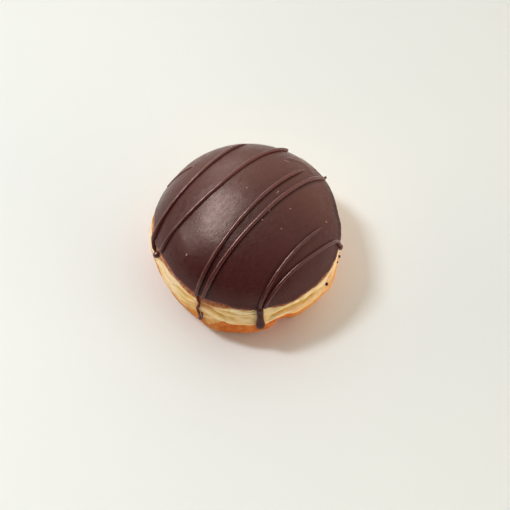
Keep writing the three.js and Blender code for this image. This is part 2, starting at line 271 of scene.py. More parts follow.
# Dabs on the coat: angle, radius, length, width, heading seen from above
DARK_DABS = [(38.3, 39.6, 1.3, 1.2, 0), (134.3, 32.9, 2.6, 1.0, 20)]
PALE_DABS = [
    (88.7, 4.0, 0.8, 0.55, 0), (11, 14.4, 2.0, 0.4, 60), (51.2, 29.1, 2.8, 0.55, -20),
    (-59.4, 13.6, 0.7, 0.5, 0), (-36.1, 12.4, 0.7, 0.5, 0), (-139.1, 35.3, 0.9, 0.6, 40),
    (-14.4, 20.2, 0.6, 0.45, 0), (-44.4, 21.4, 0.6, 0.45, 0), (-8.3, 36.8, 0.8, 0.5, 0),
]

# A bead's height as a share of its width
STRAND_FLATNESS = 0.95
DRIP_FLATNESS = 0.88
DAB_FLATNESS = 0.6
TRICKLE_FLATNESS = 0.7
SPECK_FLATNESS = 0.8

# How finely the surfaces are divided
SIDES = 600
BASE_ROWS = 4
FOOT_ROWS = 34
BELT_ROWS = 112
DOME_ROWS = 14
BELT_BOTTOM = 12
BELT_TOP = 37
COAT_ROWS = 150
COAT_SIDES = 500
LIP_ROWS = 8
INNER_ROWS = 8
SECTION_SIDES = 16

# How finely the beads' paths are divided: points at first, then the length of an even step
STRAND_POINTS = 160
TAIL_POINTS = 24
STRAND_STEP = 0.5
DRIP_POINTS = 60
DRIP_STEP = 0.25
DROP_POINTS = 30
DROP_STEP = 0.15
TRICKLE_POINTS = 80
TRICKLE_STEP = 0.3
NUB_POINTS = 16
DAB_POINTS = 14
SPECK_POINTS = 12
# How often a path's corners are smoothed
STRAND_ROUNDS = 3
TRICKLE_ROUNDS = 6
COAT_WRINKLE_ROUNDS = 4

TOP = math.pi / 2
SEED_STEP = 31.7  # distance between the noise of two seeds

# Colours of the dough. The belt's go by depth below the coat's edge, from 0 to 1, and the crust's by noise.
BELT_COLOURS = [
    (0.0, (0.93, 0.68, 0.36)), (0.12, (0.95, 0.72, 0.41)), (0.32, (0.86, 0.58, 0.26)),
    (0.50, (0.96, 0.70, 0.38)), (0.75, (0.91, 0.58, 0.25)), (1.0, (0.85, 0.46, 0.15)),
]
CRUST_COLOURS = [(0.3, (0.42, 0.100, 0.026)), (0.5, (0.62, 0.165, 0.040)), (0.72, (0.76, 0.265, 0.065))]
CREAM = (0.94, 1.07, 1.44)  # the belt's colour is multiplied by this or by gold
GOLD = (0.90, 0.74, 0.54)
CREST_HIGHLIGHT_COLOUR = (1.0, 0.79, 0.49)
RIM_HIGHLIGHT_COLOUR = (0.99, 0.72, 0.40)
# The wrinkles and folds are partly the dough's own gold and partly painted shade
WRINKLE_COLOUR = (0.66, 0.39, 0.10)
FOLD_COLOUR = (0.66, 0.385, 0.050)
SEEP_COLOUR = (0.40, 0.118, 0.043)
STAIN_COLOUR = (0.50, 0.18, 0.10)
CREST_HIGHLIGHT_STRENGTH = 0.85
RIM_HIGHLIGHT_STRENGTH = 0.85
WRINKLE_STRENGTH = 0.65

# The dough's surface
BELT_ROUGHNESS = 0.7
CRUST_ROUGHNESS = 0.5
GLOW_WEIGHT = 0.15  # light that passes through the dough
GLOW_RADIUS = (1.0, 0.6, 0.3)
GLOW_REACH = 0.9
DOUGH_BUMP = (0.22, 0.5)  # depth, strength

# Noise in the materials. Some have the span of the noise that is used and the values which that becomes.
STREAK_AZIMUTH = 50  # heading of the fine streaks in the chocolate
BELT_STREAKS = (dict(size=2.8, detail=4, roughness=0.6, stretch=(1, 1, 2.4)), (0.3, 0.7), (-0.28, 0.28))
FOLD_BREAKS = (dict(size=3), (0.3, 0.55), (0.55, 1.0))
SEEP_JAGS = (dict(size=1.3), (0.38, 0.56), (0.75, 1.0))
CRUST_MOTTLE = dict(size=3.5, detail=5, roughness=0.65)
DOUGH_GRAIN = dict(size=0.9, detail=4, roughness=0.65)
TONE_PATCHES = (dict(size=6, detail=4, roughness=0.6), (0.32, 0.68), (0, 1))
TONE_MOTTLE = (dict(size=2.6, detail=4, roughness=0.6), (0.25, 0.75), (-0.26, 0.26))
SHEEN_STREAKS = (dict(size=1.4, detail=4, stretch_along=(STREAK_AZIMUTH, 2)), (0.3, 0.7))
FINE_STREAKS = dict(size=0.6, stretch_along=(STREAK_AZIMUTH, 6))
CHOCOLATE_GRAIN = dict(size=1.6)
FLECK_PATCHES = (dict(size=1.5), (0.5, 0.68), (0, 0.4))
RIM_REFLECTION_PATCHES = (dict(size=2.5, detail=4), (0.38, 0.62), (0.35, 0.95))

# Kinds of chocolate: dark and light colour, lowest and highest roughness, strength and tint of the sheen.
# Those shaded by side have painted light and shade, dark in front and light behind; the others have patches.
NEUTRAL_SHINE = (1, 0.91, 0.83)
PINK_SHINE = (1, 0.86, 0.8)
COAT_CHOCOLATE = dict(
    dark=(0.067, 0.0170, 0.0160), light=(0.111, 0.0350, 0.0280), roughness=(0.25, 0.43),
    shine=0.26, tint=NEUTRAL_SHINE, toned=True,
)
DRIZZLE_CHOCOLATE = dict(
    dark=(0.085, 0.0210, 0.0190), light=(0.125, 0.0330, 0.0290), roughness=(0.20, 0.26),
    shine=0.45, tint=PINK_SHINE, toned=True,
)
# Painted shade: the drip, which hangs in front, has a darker copy of the chocolate
SHADED_DRIP_CHOCOLATE = dict(
    dark=(0.046, 0.0090, 0.0070), light=(0.064, 0.0140, 0.0110), roughness=(0.30, 0.38),
    shine=0.14, tint=NEUTRAL_SHINE,
)
THIN_CHOCOLATE = dict(
    dark=(0.095, 0.0095, 0.0040), light=(0.150, 0.0200, 0.0100), roughness=(0.35, 0.45),
    shine=0.12, tint=PINK_SHINE,
)
PALE_CHOCOLATE = dict(
    dark=(0.340, 0.2000, 0.1550), light=(0.430, 0.2700, 0.2150), roughness=(0.40, 0.50),
    shine=0.30, tint=NEUTRAL_SHINE,
)
CHOCOLATE_BUMP = (0.085, 0.6)  # depth, strength
LOW_SHADE_COLOUR = (0.052, 0.0075, 0.0070)
THIN_COLOUR = (0.190, 0.0380, 0.0310)
FLECK_COLOUR = (0.130, 0.0330, 0.0270)
RIM_REFLECTION_COLOUR = (0.360, 0.2600, 0.2200)
SHADE_COLOUR = (0.026, 0.0040, 0.0030)
SHADE_STRENGTH = 0.9
DULL_ROUGHNESS = 0.3  # what the dull rim's roughness has more

# Floor
FLOOR_HALF = 9000
FLOOR_COLOUR = (0.85, 0.84, 0.82)
FLOOR_ROUGHNESS = 0.6
FLOOR_SHINE = 0.08

# Camera
CAMERA_PLACE = (4.495, -247.597, 469.99)
CAMERA_ELEVATION = 61.87
CAMERA_LENS = 76.235
CAMERA_NEAREST = 10
SENSOR_WIDTH = 36

# The surroundings are bright towards one side and dark away from it, and blend over a span of directions
ROOM_TINT = (1, 0.99, 0.87)
ROOM_AZIMUTH = 60
ROOM_SPAN = (-0.45, 0.4)
DARK_GLOW = 0.0
BRIGHT_GLOW = 1.01

# Lamps: azimuth, elevation, distance, width and height in metres, power, tint, whether it only shows in
# shiny faces. The others only light the scene.
KEY_TINT = (0.82, 0.91, 1)
SIDE_TINT = (1, 0.87, 0.66)
FRONT_TINT = (1, 0.96, 0.9)
WINDOW_TINT = (0.88, 0.86, 0.84)
LAMPS = {
    "key": (172, 62, 1.0, 0.11, 0.21, 4.9, KEY_TINT, False),
    "window": (152, 59, 1.0, 0.85, 0.42, 21.4, WINDOW_TINT, True),
    "low_window": (-178, 28, 1.0, 0.42, 0.30, 3.2, WINDOW_TINT, True),
    "back_window": (104, 24, 1.0, 0.40, 0.30, 1.6, WINDOW_TINT, True),
    "left_fill": (170, 10, 1.2, 0.9, 0.4, 5.6, SIDE_TINT, False),
    "right_fill": (-25, 8, 1.2, 0.9, 0.4, 6.0, SIDE_TINT, False),
    "front_fill": (-102, 12, 1.2, 0.9, 0.4, 1.6, FRONT_TINT, False),
}


# Shape of the body

def bell(x):
    return np.exp(-0.5 * x * x)


def smooth(low, high, x):
    t = np.clip((x - low) / (high - low), 0, 1)
    return t * t * (3 - 2 * t)


def turn(a, b):
    """The difference between two angles, from -180 to 180."""
    return (a - b + 180) % 360 - 180


def swell(waves, angle):
    return sum(rise * bell(turn(angle, middle) / spread) for middle, rise, spread in waves)


def around(points, angle):
    """A value given at some angles, eased from each of them to the next all the way round."""
    angles = np.array([p[0] for p in points] + [points[0][0] + 360], float)
    values = np.array([p[1] for p in points] + [points[0][1]], float)
    a = (angle - angles[0]) % 360 + angles[0]
    i = np.clip(np.searchsorted(angles, a, side="right") - 1, 0, len(points) - 1)
    share = smooth(angles[i], angles[i + 1], a)
    return values[i] + (values[i + 1] - values[i]) * share


def profile(bend):
    """Radius, height and outward direction of the side curve, where bend goes from the base to the pole."""
    upper = bend >= 0
    power = np.where(upper, DOME_POWER, FOOT_POWER)
    inner = np.where(upper, 0, BASE_RADIUS)
    wide = CORE_RADIUS - inner
    tall = np.where(upper, DOUGH_HEIGHT - WIDEST_HEIGHT, WIDEST_HEIGHT)
    across = np.abs(np.cos(bend)) ** (2 / power)
    along = np.abs(np.sin(bend)) ** (2 / power)
    sign = np.where(upper, 1, -1)
    out = across ** (power - 1) / wide
    up = sign * along ** (power - 1) / tall
    length = np.hypot(out, up)
    return inner + wide * across, WIDEST_HEIGHT + sign * tall * along, out / length, up / length


def bend_at_height(height):
    above = np.asarray(height, float) - WIDEST_HEIGHT
    upper = np.arcsin(np.clip(above / (DOUGH_HEIGHT - WIDEST_HEIGHT), 0, 1) ** (DOME_POWER / 2))
    lower = -np.arcsin(np.clip(-above / WIDEST_HEIGHT, 0, 1) ** (FOOT_POWER / 2))
    return np.where(above >= 0, upper, lower)


def bend_at_radius(radius):
    across = np.minimum(1, radius / (CORE_RADIUS + GAP + COAT))
    return np.arccos(across ** (DOME_POWER / 2))


def groove_height(angle):
    return GROOVE_HEIGHT + swell(GROOVE_WAVES, angle)


def edge_height(angle):
    return COAT_EDGE_HEIGHT + swell(COAT_EDGE_WAVES, angle)


def relief(angle, height):
    groove = groove_height(angle)
    ridges = sum(rise * bell((height - groove - above) / spread) for above, rise, spread in RIDGES)
    lumps = sum(
        out * bell(turn(angle, middle) / spread) * bell((height - level) / tall)
        for middle, level, out, spread, tall in LUMPS
    )
    return ridges + lumps


def surface(angle, bend, lift):
    """The points at these angles and bends, lifted off the dough in the side curve's outward direction."""
    angle, bend, lift = np.broadcast_arrays(*(np.asarray(x, float) for x in (angle, bend, lift)))
    radius, height, out, up = profile(bend)
    hold = np.where(bend >= 0, out, 1)
    oval = OVAL[0] * np.cos(2 * np.radians(angle - OVAL[1]))
    triangle = TRIANGLE[0] * np.cos(3 * np.radians(angle - TRIANGLE[1]))
    reach = radius * (1 + oval + triangle) + hold * relief(angle, height) + out * lift
    rise = height + up * lift
    x = AXIS[0] + LEAN * (rise / DOUGH_HEIGHT - 0.5) + reach * np.cos(np.radians(angle))
    y = AXIS[1] + reach * np.sin(np.radians(angle))
    return np.stack([x, y, rise], -1)


def lumpy(points, size, seed):
    """Smooth noise from about -1 to 1 at points. The lumps' size is one number or one for each axis."""
    scaled = points.reshape(-1, 3) / size + SEED_STEP * seed
    return np.array([noise.noise(Vector(p)) for p in scaled]).reshape(points.shape[:-1])


def lumpy_twice(points, large, small, share, seed):
    """Such noise with smaller lumps on it, which count for a share."""
    return lumpy(points, large, seed) + share * lumpy(points, small, seed + 1)


# Meshes

def new_object(name, points, faces, material, **masks):
    mesh = bpy.data.meshes.new(name)
    mesh.from_pydata(np.asarray(points).reshape(-1, 3) * MM, [], faces)
    for mask, values in masks.items():
        attribute = mesh.attributes.new(mask, "FLOAT", "POINT")
        attribute.data.foreach_set("value", np.asarray(values, np.float32).ravel())
    mesh.polygons.foreach_set("use_smooth", [True] * len(mesh.polygons))
    mesh.materials.append(material)
    piece = bpy.data.objects.new(name, mesh)
    bpy.context.scene.collection.objects.link(piece)
    return piece


def tube_faces(rows, sides):
    """Quads between rows of points that each go once round, from the first to the last row."""
    row = np.arange(rows - 1)[:, None] * sides
    side = np.arange(sides)[None]
    after = (side + 1) % sides
    quads = np.stack([row + side, row + after, row + sides + after, row + sides + side], -1)
    return quads.reshape(-1, 4).tolist()


def fan_faces(tip, row_start, sides, outward):
    order = range(sides) if outward else range(sides - 1, -1, -1)
    step = 1 if outward else -1
    return [(tip, row_start + i, row_start + (i + step) % sides) for i in order]


def capped(rows):
    """Points and faces of a closed body through rows of points, of which the first and last become tips."""
    count, sides = rows.shape[:2]
    tips = [rows[0].mean(0), rows[-1].mean(0)]
    points = np.concatenate([rows[1:-1].reshape(-1, 3), tips])
    body = (count - 2) * sides
    faces = tube_faces(count - 2, sides)
    faces += fan_faces(body, 0, sides, False)
    faces += fan_faces(body + 1, body - sides, sides, True)
    return points, faces


def joined(parts):
    points, faces = [], []
    offset = 0
    for part_points, part_faces in parts:
        points.append(part_points)
        faces += [tuple(i + offset for i in face) for face in part_faces]
        offset += len(part_points)
    return np.concatenate(points), faces


def from_rows(values):
    """Values given for rows of points, in the order in which capped() lists the points."""
    return np.concatenate([values[1:-1].ravel(), [values[0].mean(), values[-1].mean()]])


# Dough

def dough_rows():
    foot = np.linspace(-TOP, bend_at_height(BELT_BOTTOM), FOOT_ROWS + 1)[:-1]
    belt = bend_at_height(np.linspace(BELT_BOTTOM, BELT_TOP, BELT_ROWS + 1))
    dome = np.linspace(belt[-1], TOP, DOME_ROWS + 1)[1:]
    return np.concatenate([foot, belt, dome])


def crease_masks(angle, height):
    """How deep each place lies in the belt's creases and how high on the crests below them, from 0 to 1."""
    outside, inside = CREASE_ENDS
    fold = np.zeros(height.shape)
    crest = np.zeros(height.shape)
    for route, wide, strength in CREASES:
        angles, heights = np.array(route, float).T
        begun = smooth(angles[0] - outside, angles[0] + inside, angle)
        ends = begun * smooth(angles[-1] + outside, angles[-1] - inside, angle)
        above = (height - np.interp(angle, angles, heights)) / wide
        fold = np.maximum(fold, strength * ends * bell(above))
        crest = np.maximum(crest, strength * ends * bell((above + CREST_AWAY) / CREST_WIDTH))
    return fold, crest


def wrinkle_mask(plain, waver):
    size, begun, full = WRINKLE_PATCHES
    lines = np.abs(lumpy(plain + WRINKLE_WAVER * waver[..., None], np.array(WRINKLE_SIZE), 3))
    return np.clip(1 - lines / WRINKLE_WIDTH, 0, 1) ** 2 * smooth(begun, full, lumpy(plain, size, 4))


def stain_mask(angle, height):
    return sum(
        strength * bell(turn(angle, middle) / spread) * bell((height - level) / tall)
        for middle, level, spread, tall, strength in STAINS
    )


def dough_piece(material):
    angle = np.arange(SIDES) * 360 / SIDES - 180
    bend = dough_rows()[:, None]
    angle = np.broadcast_to(angle, (len(bend), SIDES))
    bend = np.broadcast_to(bend, angle.shape)
    plain = surface(angle, bend, 0)
    height = plain[..., 2]
    waver = lumpy_twice(plain, *DOUGH_WAVER, seed=1)

    above = height - around(CRUST_LINE, angle) - LINE_WAVER * waver
    sharp = around(CRUST_SHARPNESS, angle)
    half_line = SOFT_LINE + (SHARP_LINE - SOFT_LINE) * sharp
    pale = smooth(-half_line, half_line, above)
    edge = edge_height(angle)
    bare = smooth(edge + BARE_SPAN[0], edge + BARE_SPAN[1], height)
    standing = smooth(0, STANDING_HEIGHT, height)

    fold, crest = (mask * pale for mask in crease_masks(angle, height + CREASE_WAVER * waver))
    wrinkle = wrinkle_mask(plain, waver) * pale
    fine = lumpy(plain + FINE_WAVER * waver[..., None], np.array(FINE_SIZE), 5) * pale
    blister = lumpy_twice(plain, *BLISTERS, seed=6)

    step = pale * BELT_STEP * smooth(STEP_REACH[0], 0, above)
    step -= (1 - pale) * CRUST_STEP * smooth(STEP_REACH[1], 0, above)
    lift = sharp * step - CREASE_DEPTH * fold + CREST_RISE * crest - WRINKLE_DEPTH * wrinkle
    lift += FINE_DEPTH * fine + standing * BLISTER_RISE * (1 - BELT_BLISTERS * pale) * blister
    points = surface(angle, bend, bare * lift)

    depth = np.clip((edge - height) / BELT_DEPTH, 0, 1)
    rim = bell((above - RIM[0]) / RIM[1]) * sharp
    strength, begun, full = FINE_CREST
    crest = np.maximum(crest, strength * smooth(begun, full, fine))
    reach = around(SEEP_REACH, angle)
    seep = smooth(reach, SEEP_FULL * reach, edge - height - SEEP_WAVER * waver)
    tint = around(BELT_TINT, angle) + around(LOW_TINT, angle) * smooth(*LOW_SPAN, depth)

    middle_of_base = np.array([*AXIS, 0])
    shares = np.linspace(0, 1, BASE_ROWS + 1)[:-1]
    base = [middle_of_base + (points[0] - middle_of_base) * s for s in shares]
    body, faces = capped(np.concatenate([base, points]))

    def mask(values):
        return from_rows(np.concatenate([np.repeat(values[:1], BASE_ROWS, 0), values]))

    return new_object(
        "dough_body", body, faces, material,
        crust=mask((1 - pale) * around(CRUST_STRENGTH, angle)), fold=mask(fold), crest=mask(crest),
        wrinkle=mask(wrinkle), depth=mask(depth), rim=mask(rim), seep=mask(seep),
        stain=mask(stain_mask(angle, height)), tint=mask(tint),
    )


# Chocolate

def plan(angle, radius):
    return np.stack([radius * np.cos(np.radians(angle)), radius * np.sin(np.radians(angle))], -1)


def polar(place):
    return np.degrees(np.arctan2(place[..., 1], place[..., 0])), np.hypot(place[..., 0], place[..., 1])


def evenly(points, step):
    """The same path with points an even step apart, and how far along it they lie."""
    run = np.concatenate([[0], np.cumsum(np.linalg.norm(np.diff(points, axis=0), axis=1))])
    even = np.linspace(0, run[-1], max(3, int(run[-1] / step)))
    return np.stack([np.interp(even, run, axis) for axis in points.T], -1), even


def smoothed(points, times):
    for _ in range(times):
        between = (points[:-2] + 2 * points[1:-1] + points[2:]) / 4
        points = np.concatenate([points[:1], between, points[-1:]])
    return points


def coat_relief(points):
    """How far the coat's bumps and its wrinkle stand out at points of its face."""
    place = points[..., :2] - AXIS
    rise = 0
    for angle, radius, tall, spread in COAT_BUMPS:
        rise = rise + tall * bell(np.linalg.norm(place - plan(angle, radius), axis=-1) / spread)
    knots = np.array([plan(angle, radius) for angle, radius in COAT_WRINKLE])
    route, _ = evenly(knots, COAT_WRINKLE_STEP)
    route = smoothed(route, COAT_WRINKLE_ROUNDS)
    away = np.min([np.linalg.norm(place - knot, axis=-1) for knot in route], axis=0)
    return rise + COAT_WRINKLE_RISE * bell(away / COAT_WRINKLE_SPREAD)


def tone_mask(points):
    """Where the chocolate has painted shade, at 0, in front, or painted light, at 1, behind."""
    return smooth(*SIDE_SHADE_SPAN, points[:, :2] @ plan(SIDE_SHADE_AZIMUTH, 1))


def low_place(angle, height, middle, spread, high, low):
    """A mask about an angle that begins at one height and is full at a lower one."""
    return bell(turn(angle, middle) / spread) * smooth(high, low, height)


def coat_piece(material):
    angle = np.arange(COAT_SIDES) * 360 / COAT_SIDES
    lip = np.linspace(0, LIP_SHARE, LIP_ROWS + 1)
    outer = np.linspace(LIP_SHARE, 1, COAT_ROWS + 1)[1:]
    inner = np.linspace(1, 0, INNER_ROWS + 1)
    shares = np.concatenate([inner, lip[1:], outer])
    is_outer = np.arange(len(shares)) > INNER_ROWS
    round_off = np.sqrt(1 - (1 - np.minimum(1, shares / LIP_SHARE)) ** 2)
    thick = np.where(is_outer, GAP + COAT_SINK + COAT * round_off - GAP * (1 - round_off), 0)

    edge_place = surface(angle, bend_at_height(edge_height(angle)), 0)
    waver = lumpy_twice(edge_place, *EDGE_LUMPS, seed=11)
    edge = bend_at_height(edge_height(angle) + EDGE_WAVER * waver)
    bend = edge + (TOP - edge) * shares[:, None]
    plain = surface(angle, bend, GAP)
    dimples = DIMPLE_DEPTH * lumpy_twice(plain, *DIMPLES, seed=13)
    lift = thick[:, None] - COAT_SINK + is_outer[:, None] * (dimples + coat_relief(plain))
    rows = surface(angle, bend, lift)
    points, faces = capped(rows)

    height = rows[..., 2]
    deep = np.max([low_place(angle, height, *place) for place in SHADED_LOW_PLACES], axis=0)
    thin = smooth(*THIN_SHARE, shares)[:, None] * around(THIN_EDGE, angle)
    fleck_angle, fleck_radius, fleck_spread = FLECKS
    fleck_place = points[:, :2] - AXIS - plan(fleck_angle, fleck_radius)
    middle, spread, level, tall = RIM_REFLECTION
    bloom = bell(turn(angle, middle) / spread) * bell((height - level) / tall)
    return new_object(
        "icing_coat", points, faces, material, tone=tone_mask(points), deep=from_rows(deep),
        thin=from_rows(thin), fleck=bell(np.linalg.norm(fleck_place, axis=-1) / fleck_spread),
        bloom=from_rows(bloom), dull=from_rows(low_place(angle, height, *DULL)),
        shade=np.max([crevice_shade(points, STRANDS[number]) for number in SHADED_STRANDS], axis=0),
    )


def strand_point(angle, height, raised=STRAND_RAISE):
    """A strand's middle: just off the coat's outer face and, below the coat's edge, close to the dough."""
    bend = bend_at_height(height)
    edge = edge_height(angle)
    on_coat = smooth(edge - STEP_DOWN, edge + STEP_DOWN, height)
    return surface(angle, bend, GAP + LOW_LIFT + (COAT + raised - LOW_LIFT) * on_coat)


def strand_path(strand):
    """Points of a strand's middle, from its front end to its back end."""
    front, bow, sway = strand["front"], strand["bow"], strand["sway"]
    first, last = plan(front, SHOULDER_RADIUS), plan(strand["back"], SHOULDER_RADIUS)
    along = (last - first) / np.linalg.norm(last - first)
    across = np.array([-along[1], along[0]])
    share = np.linspace(strand.get("start", 0), strand.get("reach", 1), STRAND_POINTS)
    aside = 4 * bow * share * (1 - share) + sway * np.sin(2 * np.pi * share)
    place = first + (last - first) * share[:, None] + across * aside[:, None]
    shoulder = float(profile(bend_at_radius(SHOULDER_RADIUS))[1])
    angles, radii = polar(place)
    heights = profile(bend_at_radius(radii))[1]
    tail = np.linspace(0, 1, TAIL_POINTS)[1:]
    if "front_foot" in strand:
        angles = np.concatenate([(front + strand.get("drift", 0) * tail ** 2)[::-1], angles])
        heights = np.concatenate([(shoulder + (strand["front_foot"] - shoulder) * tail)[::-1], heights])
    if "back_foot" in strand:
        low = heights[-1] + (strand["back_foot"] - heights[-1]) * tail
        angles = np.concatenate([angles, np.full(len(tail), angles[-1])])
        heights = np.concatenate([heights, low])
    return strand_point(angles, heights, strand.get("raised", STRAND_RAISE))


def crevice_shade(points, strand):
    """A mask of painted shade along the right side of a strand, seen from above and from its front end."""
    path, _ = evenly(strand_path(strand), STRAND_STEP)
    route = path[:, :2]
    ahead = np.gradient(route, axis=0)
    ahead /= np.linalg.norm(ahead, axis=1)[:, None]
    nearest = np.array([np.argmin(((route - place) ** 2).sum(1)) for place in points[:, :2]])
    away = points[:, :2] - route[nearest]
    beyond = np.abs((away * ahead[nearest]).sum(1))
    side = away[:, 0] * ahead[nearest, 1] - away[:, 1] * ahead[nearest, 0]
    fade = smooth(1, SHADE_FADE, nearest / len(route)) * (beyond < STRAND_STEP)
    return bell((side - SHADE_AWAY) / SHADE_SPREAD) * fade


def bead(path, width, height, taper_front=0, taper_back=0, sink=0):
    """A closed bead along a path. An end is round, or it fades over a taper and sinks."""
    count = len(path)
    run = np.concatenate([[0], np.cumsum(np.linalg.norm(np.diff(path, axis=0), axis=1))])
    ahead = np.gradient(path, axis=0)
    ahead /= np.linalg.norm(ahead, axis=1)[:, None]
    out = path - np.array([*AXIS, WIDEST_HEIGHT])
    out[:, 2] *= np.where(path[:, 2] > WIDEST_HEIGHT, 1, 0)
    side = np.cross(ahead, out)
    side /= np.linalg.norm(side, axis=1)[:, None]
    out = np.cross(side, ahead)
    half_width = np.broadcast_to(width, count) / 2
    half_height = np.broadcast_to(height, count) / 2

    def end(distance, taper):
        ball = np.sqrt(1 - (1 - np.clip(distance / half_width, 0, 1)) ** 2)
        return ball if taper == 0 else np.minimum(ball, np.clip(distance / taper, 0, 1) ** FADE_POWER)

    size = end(run, taper_front) * end(run[-1] - run, taper_back)
    turns = np.linspace(0, 2 * np.pi, SECTION_SIDES, endpoint=False)
    reach = (half_width * size)[:, None, None] * np.cos(turns)[None, :, None] * side[:, None]
    rise = (half_height * size)[:, None, None] * np.sin(turns)[None, :, None] * out[:, None]
    middle = path - out * (sink * (1 - size))[:, None]
    return capped(middle[:, None] + reach + rise)


def strand_parts():
    parts = []
    for number, strand in enumerate(STRANDS):
        path, run = evenly(strand_path(strand), STRAND_STEP)
        path = smoothed(path, STRAND_ROUNDS)
        uneven = 1 + sum(share * lumpy(path, size, seed + number) for share, size, seed in STRAND_UNEVEN)
        where, share, spread = strand.get("swelling", (0, 0, 1))
        width = strand["width"] * (uneven + share * bell((run - where) / spread))
        front_fade, back_fade = strand.get("front_fade", 0), strand.get("fade", 0)
        parts.append(bead(path, width, STRAND_FLATNESS * width, front_fade, back_fade, FADE_SINK))
    return parts


def drip_part():
    angle, top, width = DRIP
    bulb_height, bulb_width, bulb_tall, bulb_spread = BULB
    neck_height, neck_share, neck_spread = PINCH
    low = bulb_height - bulb_tall / 2
    heights = np.linspace(top, low, DRIP_POINTS)
    path, _ = evenly(strand_point(np.full(DRIP_POINTS, angle), heights), DRIP_STEP)
    level = np.linspace(top, low, len(path))
    bulb = bell((level - bulb_height) / bulb_spread)
    neck = neck_share * bell((level - neck_height) / neck_spread)
    wide = width * (1 - neck) + (bulb_width - width) * bulb
    return bead(path, wide, DRIP_FLATNESS * wide, taper_front=DRIP_FADE)


def drop_part(angle, height, width, tall):
    heights = np.linspace(height + tall / 2, height - tall / 2, DROP_POINTS)
    path, _ = evenly(strand_point(np.full(DROP_POINTS, angle), heights), DROP_STEP)
    return bead(path, width, width)


def nub_part():
    angle, height, reach, width = NUB
    path = surface(angle, bend_at_height(height), GAP + COAT + np.linspace(-NUB_SINK, reach, NUB_POINTS))
    return bead(path, width, width)


def dab_part(angle, radius, length, width, heading):
    """A small dab that lies on the coat along a heading."""
    share = np.linspace(-0.5, 0.5, DAB_POINTS)
    angles, radii = polar(plan(angle, radius) + plan(heading, length * share))
    return bead(surface(angles, bend_at_radius(radii), GAP + COAT), width, DAB_FLATNESS * width)


def drizzle_piece(material):
    parts = strand_parts() + [nub_part()] + [drop_part(*drop) for drop in DROPS]
    parts += [dab_part(*dab) for dab in DARK_DABS]
    points, faces = joined(parts)
    return new_object("icing_drizzle", points, faces, material, tone=tone_mask(points))


def drip_piece(material):
    return new_object("icing_drip", *drip_part(), material)


def dab_piece(material):
    points, faces = joined([dab_part(*dab) for dab in PALE_DABS])
    return new_object("icing_dabs", points, faces, material)


def trickle_piece(material):
    parts = []
    share, size, seed = TRICKLE_UNEVEN
    for number, (route, wide) in enumerate(zip(TRICKLES, TRICKLE_WIDTHS)):
        knots = np.arange(len(route))
        places = np.linspace(0, len(route) - 1, TRICKLE_POINTS)
        angles, heights = (np.interp(places, knots, values) for values in np.array(route).T)
        points = surface(angles, bend_at_height(heights), TRICKLE_LIFT)
        path, _ = evenly(smoothed(points, TRICKLE_ROUNDS), TRICKLE_STEP)
        width = wide * (1 + share * lumpy(path, size, seed + number))
        parts.append(bead(path, width, TRICKLE_FLATNESS * width))
    points, faces = joined(parts)
    return new_object("icing_trickles", points, faces, material)


def speck_piece(material):
    parts = []
    for angle, height, size in SPECKS:
        heights = np.linspace(height + size / 2, height - size / 2, SPECK_POINTS)
        path = surface(angle, bend_at_height(heights), SPECK_LIFT)
        parts.append(bead(path, size, SPECK_FLATNESS * size))
    points, faces = joined(parts)
    return new_object("icing_specks", points, faces, material)


# Materials

